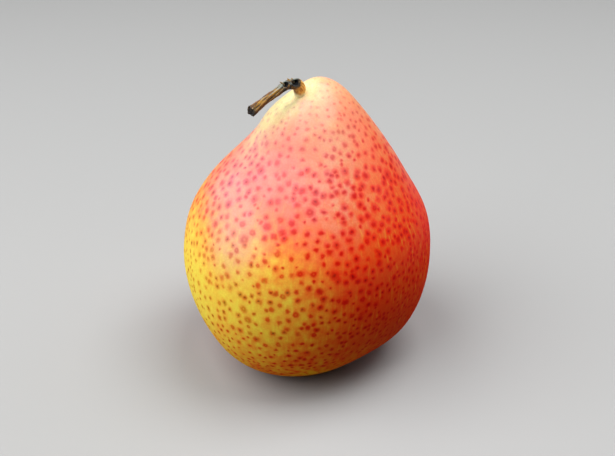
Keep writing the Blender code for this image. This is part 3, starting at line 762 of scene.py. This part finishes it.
def calyxGrids():
    shape = calyxSetup
    eye = np.array([*shape["middle"], shape["top"]])
    turn = np.linspace(0, 2 * math.pi, 60, endpoint=False)
    spokes = np.stack([np.cos(turn), np.sin(turn), turn * 0], 1)
    disc = np.array([eye + spokes * radius + [0, 0, drop] for radius, drop in shape["disc"]])
    disc[1:-1] += spokes * (0.12 * noiseAt(disc[1:-1], 0.6))[..., None]

    def tones(rings, tip, edge, across, offset):
        # the same names as on the stem, so that the fibres can run along each part
        steps = np.linalg.norm(np.diff(rings.mean(1), axis=0), axis=1)
        return {"tip": tip, "edge": edge, "acrossRight": across, "acrossBack": np.full(len(rings), offset),
                "rise": np.concatenate([[0], np.cumsum(steps)])}

    flat = np.zeros(len(disc))
    grids = [(disc, tones(disc, flat + 0.5, flat, 3 * spokes[:, 0] + disc[..., 0] * 0, 0.0))]

    for number in range(shape["sepals"]):
        angle = 2 * math.pi * number / shape["sepals"] + 0.12 * math.sin(number * 5)
        outward = np.array([math.cos(angle), math.sin(angle), 0])
        sideways = np.array([-math.sin(angle), math.cos(angle), 0])
        curve = curveThrough([row[:4] for row in shape["sepalRun"]], [5] * 6 + [0])
        size = 1 - 0.09 * (math.sin(number * 2.1) + 1)
        lean = 0.35 * math.sin(number * 1.9 + 1)
        rings, sides = [], []
        for out, drop, half, cup in curve:
            across = np.concatenate([np.linspace(-1, 1, 11), np.linspace(1, -1, 11)])
            lower = np.repeat([0, 1], 11)
            wave = 0.16 * math.sin(out * 2.6 + number * 2) * across
            rib = 0.12 * np.exp(-(across / 0.18) ** 2) * half
            height = -drop * size - cup * (1 - across ** 2) * (1 if number % 2 else 0.7) + wave - rib
            thick = shape["sepalThickness"] * (0.35 + 0.65 * (1 - across ** 2))
            ragged = half * (1 + 0.1 * math.sin(out * 7 + number))
            curl = lean * smooth((out - 2) / 3.4) * out * 0.3
            middle = eye + outward * out * size
            rings.append([middle + sideways * (ragged * a + curl) + [0, 0, h - t * under]
                          for a, h, t, under in zip(across, height, thick, lower)])
            sides.append(across)
        rings, sides = np.array(rings)[::-1], np.array(sides)[::-1]
        rings += (0.07 * noiseAt(rings, 0.5, number * 3.0))[..., None] * [0, 0, 1]
        tip = smooth(np.linspace(1, -0.6, len(rings)))
        grids.append((rings, tones(rings, tip, sides ** 4, sides * 1.2, number * 3.0)))

    for number in range(shape["stamens"]):
        angle = number * math.radians(137.5)
        outward = np.array([math.cos(angle), math.sin(angle), 0])
        foot = eye + outward * 1.3 * math.sqrt((number + 0.5) / shape["stamens"]) + [0, 0, -0.5]
        reach = shape["stamenLength"] * (0.75 + 0.25 * math.sin(number * 2.3))
        bend = 0.35 + 0.3 * math.sin(number * 1.7)
        knots = [(foot + outward * bend * reach * t * t - np.array([0, 0, reach * t]),
                  shape["stamenRadius"] * wide, 4)
                 for t, wide in ((0, 1.3), (0.4, 1.0), (0.8, 0.9), (0.93, 2.0), (1.0, 1.0))]
        knots[-1] = (*knots[-1][:2], 0)
        middles, radii, spread, _, along, _ = sweptRings(knots, 10)
        rings = middles[:, None, :] + spread * radii[:, None, None]
        flat = np.zeros(len(rings))
        grids.append((rings, tones(rings, 0.3 + 0.7 * along / along[-1], flat, flat, number * 1.0)))
    return grids


def calyxMaterial():
    # Pear sepals, dried on the fruit. The eye gets matt brown paper with lengthwise fibres, paler along
    # the edges, near black at the tips, and a grey down in patches.
    look = calyxSetup
    made, tree, shader = startMaterial("dried brown sepals, papery, with lengthwise fibres")
    place = addNode(tree, "TexCoord").outputs["Object"]
    fibrePlace = streakPlaces(tree, 1 * mm, look["fibreLength"])
    fibres = addNode(tree, "TexNoise", fibrePlace, 1 / (look["fibreSize"] * mm), 3.0)
    downy = addNode(tree, "TexNoise", place, 1 / (look["woolSize"] * mm), 2.0)
    edge, tip = [addNode(tree, "Attribute", attribute_name=name).outputs["Fac"] for name in ("edge", "tip")]
    colour = look["dry"]
    fibred = addNode(tree, "MapRange", fibres, 0.36, 0.66, interpolation_type="SMOOTHSTEP")
    downy = addNode(tree, "MapRange", downy, 0.5, 0.7, interpolation_type="SMOOTHSTEP")
    for share, part, name in ((fibred, 1.0, "pale"), (downy, 0.5, "wool"), (edge, 0.7, "edge"),
                              (tip, 0.85, "tip")):
        share = addNode(tree, "Math", share, part, operation="MULTIPLY")
        colour = addNode(tree, "Mix", share, colour, look[name], data_type="RGBA")
    bump = addNode(tree, "Bump", 0.6, look["fibreDepth"] * mm)
    plug(tree, fibres, bump.inputs["Height"])
    for name, value in (("Base Color", colour), ("Roughness", look["roughness"]), ("Normal", bump)):
        plug(tree, value, shader.inputs[name])
    return made


calyx = pieceFrom("calyxLeaves", calyxGrids())
calyx.data.materials.append(calyxMaterial())
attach(calyx, "root")
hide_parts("calyx")
print("calyx:", len(calyx.data.polygons), "faces")


# plain floor, soft light and the camera of the photograph

stageSetup = {
    "floorSize": 8.0, "floorColour": "#a3a19b", "floorRoughness": 0.9, "worldColour": "#14171b",
    "lamps": [   # name, place in metres, watts, width in metres, colour
        ("softboxLeft", (-0.54, -0.23, 0.79), 15.5, 1.0, "#f4f7ff"),
        ("softboxTop", (0.32, 0, 0.93), 9.2, 0.6, "#f4f7ff"),
        ("softboxRight", (0.82, 0.2, 0.5), 1.5, 0.6, "#f4f7ff")],
    "lampsAimAt": (0, 0, 0.04),
    "cameraTarget": (-0.0001, 0.00125, 0.0371), "cameraDistance": 0.2312,
    "cameraDown": math.radians(30), "lens": 50,
}


def makeStage():
    size = stageSetup["floorSize"] / 2
    mesh = bpy.data.meshes.new("floor")
    corners = [(-size, -size, 0), (size, -size, 0), (size, size, 0), (-size, size, 0)]
    mesh.from_pydata(corners, [], [(0, 1, 2, 3)])
    floor = bpy.data.objects.new("floor", mesh)
    bpy.context.scene.collection.objects.link(floor)
    # Backdrop paper, pressed and uncoated: an even, matt grey with no shine
    paper, _, shader = startMaterial("matt backdrop paper")
    shader.inputs["Base Color"].default_value = linear(stageSetup["floorColour"])
    shader.inputs["Roughness"].default_value = stageSetup["floorRoughness"]
    mesh.materials.append(paper)

    for name, place, power, size, colour in stageSetup["lamps"]:
        lamp = bpy.data.lights.new(name, "AREA")
        lamp.energy, lamp.size = power, size
        lamp.color = linear(colour)[:3]
        holder = bpy.data.objects.new(name, lamp)
        holder.location = place
        aim = Vector(stageSetup["lampsAimAt"]) - Vector(place)
        holder.rotation_euler = aim.to_track_quat("-Z", "Y").to_euler()
        bpy.context.scene.collection.objects.link(holder)

    world = bpy.data.worlds.new("studio")
    world.use_nodes = True
    world.node_tree.nodes["Background"].inputs["Color"].default_value = linear(stageSetup["worldColour"])
    bpy.context.scene.world = world

    down = stageSetup["cameraDown"]
    target = Vector(stageSetup["cameraTarget"])
    away = Vector((0, -math.cos(down), math.sin(down)))
    camera = bpy.data.objects.new("camera", bpy.data.cameras.new("camera"))
    camera.data.lens = stageSetup["lens"]
    camera.data.clip_start = 0.01
    camera.location = target + away * stageSetup["cameraDistance"]
    camera.rotation_euler = (-away).to_track_quat("-Z", "Y").to_euler()
    bpy.context.scene.collection.objects.link(camera)
    bpy.context.scene.camera = camera
    bpy.context.scene.view_settings.view_transform = "Standard"


makeStage()
print("stage:", len(stageSetup["lamps"]), "lamps")
